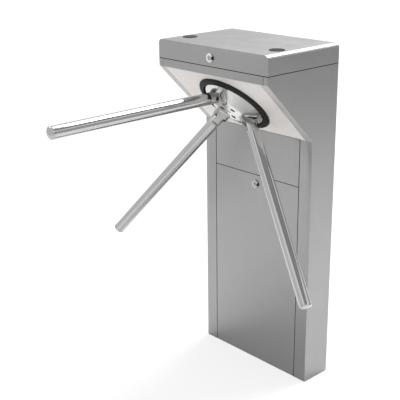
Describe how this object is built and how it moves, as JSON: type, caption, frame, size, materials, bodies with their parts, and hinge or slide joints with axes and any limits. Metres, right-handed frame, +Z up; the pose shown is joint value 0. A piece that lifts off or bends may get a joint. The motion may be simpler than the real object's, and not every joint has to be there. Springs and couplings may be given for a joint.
{
  "type": "tripod turnstile",
  "caption": "Floor-standing tripod turnstile with a slim brushed steel cabinet, a hinged lid and three folding arms.",
  "frame": {"origin": "centre of the four floor anchor holes, on the floor under the column", "axes": "+X along the passage, +Y towards the rear panel (the arms stand out towards -Y), +Z up"},
  "size_m": [0.799, 0.8036, 1.0012],
  "materials": {
    "brushed_cabinet": "satin",
    "pale_face": "satin",
    "polished_steel": "polished",
    "polished_alloy": "gloss",
    "machined_steel": "satin",
    "machined_alloy": "satin",
    "dark_steel": "satin",
    "black_plastic": "matte",
    "lens_plastic": "gloss",
    "brass_parts": "satin",
    "board_green": "satin",
    "copper_winding": "satin"
  },
  "bodies": {
    "cabinet": {"base_plate": "machined_steel", "left_side_panel": "brushed_cabinet", "right_side_panel": "brushed_cabinet", "rear_panel": "brushed_cabinet", "upper_front_panel": "brushed_cabinet", "slanted_face_plate": "pale_face", "fascia": "brushed_cabinet", "trim_ring": "black_plastic", "frame_tubes": "machined_steel", "mechanism_plate": "machined_alloy", "bearing_housing": "machined_alloy", "bearing_outer_races": "machined_steel", "mechanism_screws": "dark_steel", "plate_pillars": "machined_alloy", "mechanism_back_plate": "machined_alloy", "pawl_posts": "machined_steel", "pawl_springs": "machined_steel", "solenoid_brackets": "machined_alloy", "locking_solenoids": "dark_steel", "damper_body": "machined_alloy", "optical_sensor": "black_plastic", "drop_solenoid": "dark_steel", "lower_hinge_leaves": "machined_steel", "lid_hinge_pins": "machined_steel", "control_board": "board_green", "transformer": "copper_winding"},
    "hub": {"hub_casting": "polished_alloy", "hub_screws": "dark_steel", "arm_pins": "dark_steel", "main_shaft": "machined_steel", "bearing_inner_races": "machined_steel", "bearing_balls": "machined_steel", "index_disc": "machined_alloy", "drive_gear": "machined_alloy", "encoder_disc": "black_plastic", "shaft_nut": "machined_steel"},
    "arm_1": {"arm_1_fork": "polished_alloy", "arm_1_tube": "polished_steel", "arm_1_end_cap": "polished_alloy"},
    "arm_2": {"arm_2_fork": "polished_alloy", "arm_2_tube": "polished_steel", "arm_2_end_cap": "polished_alloy"},
    "arm_3": {"arm_3_fork": "polished_alloy", "arm_3_tube": "polished_steel", "arm_3_end_cap": "polished_alloy"},
    "lid_cover": {"lid": "brushed_cabinet", "upper_hinge_leaves": "machined_steel", "indicator_lenses": "lens_plastic", "indicator_boards": "board_green", "lid_lock_barrel": "polished_steel"},
    "lid_lock": {"lid_lock_plug": "polished_steel"},
    "door": {"service_door": "brushed_cabinet", "door_lock_barrel": "polished_steel"},
    "door_lock": {"door_lock_plug": "polished_steel"},
    "entry_pawl_lever": {"entry_pawl": "brass_parts"},
    "exit_pawl_lever": {"exit_pawl": "brass_parts"},
    "entry_plunger_rod": {"entry_plunger": "polished_steel"},
    "exit_plunger_rod": {"exit_plunger": "polished_steel"},
    "pinion": {"damper_pinion": "machined_steel"},
    "drop_rod": {"drop_release_rod": "polished_steel"}
  },
  "joints": [
    {"name": "hub_spin", "type": "hinge", "parent": "cabinet", "child": "hub", "pos_m": [0, -0.13823, 0.83173], "axis": [0, -0.7071, -0.7071], "continuous": true},
    {"name": "arm_1_fold", "type": "hinge", "parent": "hub", "child": "arm_1", "pos_m": [0, -0.21959, 0.86037], "axis": [1, 0, 0], "range_deg": [0, 90]},
    {"name": "arm_2_fold", "type": "hinge", "parent": "hub", "child": "arm_2", "pos_m": [-0.06736, -0.13709, 0.77787], "axis": [-0.5, -0.6124, 0.6124], "range_deg": [0, 45]},
    {"name": "arm_3_fold", "type": "hinge", "parent": "hub", "child": "arm_3", "pos_m": [0.06736, -0.13709, 0.77787], "axis": [-0.5, 0.6124, -0.6124], "range_deg": [0, 45]},
    {"name": "lid_hinge", "type": "hinge", "parent": "cabinet", "child": "lid_cover", "pos_m": [0, 0.055, 0.946], "axis": [-1, 0, 0], "range_deg": [0, 80]},
    {"name": "lid_lock_turn", "type": "hinge", "parent": "lid_cover", "child": "lid_lock", "pos_m": [0, -0.23, 0.97], "axis": [0, 1, 0], "range_deg": [0, 90]},
    {"name": "door_tilt", "type": "hinge", "parent": "cabinet", "child": "door", "pos_m": [0, -0.05, 0.003], "axis": [1, 0, 0], "range_deg": [0, 20]},
    {"name": "door_lock_turn", "type": "hinge", "parent": "door", "child": "door_lock", "pos_m": [0, -0.05, 0.576], "axis": [0, -1, 0], "range_deg": [0, 90]},
    {"name": "exit_pawl_swing", "type": "hinge", "parent": "cabinet", "child": "exit_pawl_lever", "pos_m": [0.074, -0.04631, 0.86001], "axis": [0, -0.7071, -0.7071], "range_deg": [0, 9]},
    {"name": "entry_pawl_swing", "type": "hinge", "parent": "cabinet", "child": "entry_pawl_lever", "pos_m": [-0.074, -0.04631, 0.86001], "axis": [0, 0.7071, 0.7071], "range_deg": [0, 9]},
    {"name": "exit_plunger_slide", "type": "slide", "parent": "cabinet", "child": "exit_plunger_rod", "axis": [-1, 0, 0], "range_m": [0, 0.0103]},
    {"name": "entry_plunger_slide", "type": "slide", "parent": "cabinet", "child": "entry_plunger_rod", "axis": [1, 0, 0], "range_m": [0, 0.0103]},
    {"name": "pinion_spin", "type": "hinge", "parent": "cabinet", "child": "pinion", "pos_m": [0, -0.01449, 0.85365], "axis": [0, -0.7071, -0.7071], "continuous": true},
    {"name": "drop_rod_slide", "type": "slide", "parent": "cabinet", "child": "drop_rod", "axis": [0, -0.7071, -0.7071], "range_m": [0, 0.006]}
  ],
  "couplings": [
    {"joint": "exit_plunger_slide", "follows": "exit_pawl_swing", "m_per_rad": 0.065},
    {"joint": "entry_plunger_slide", "follows": "entry_pawl_swing", "m_per_rad": 0.065},
    {"joint": "pinion_spin", "follows": "hub_spin", "ratio": -3}
  ]
}
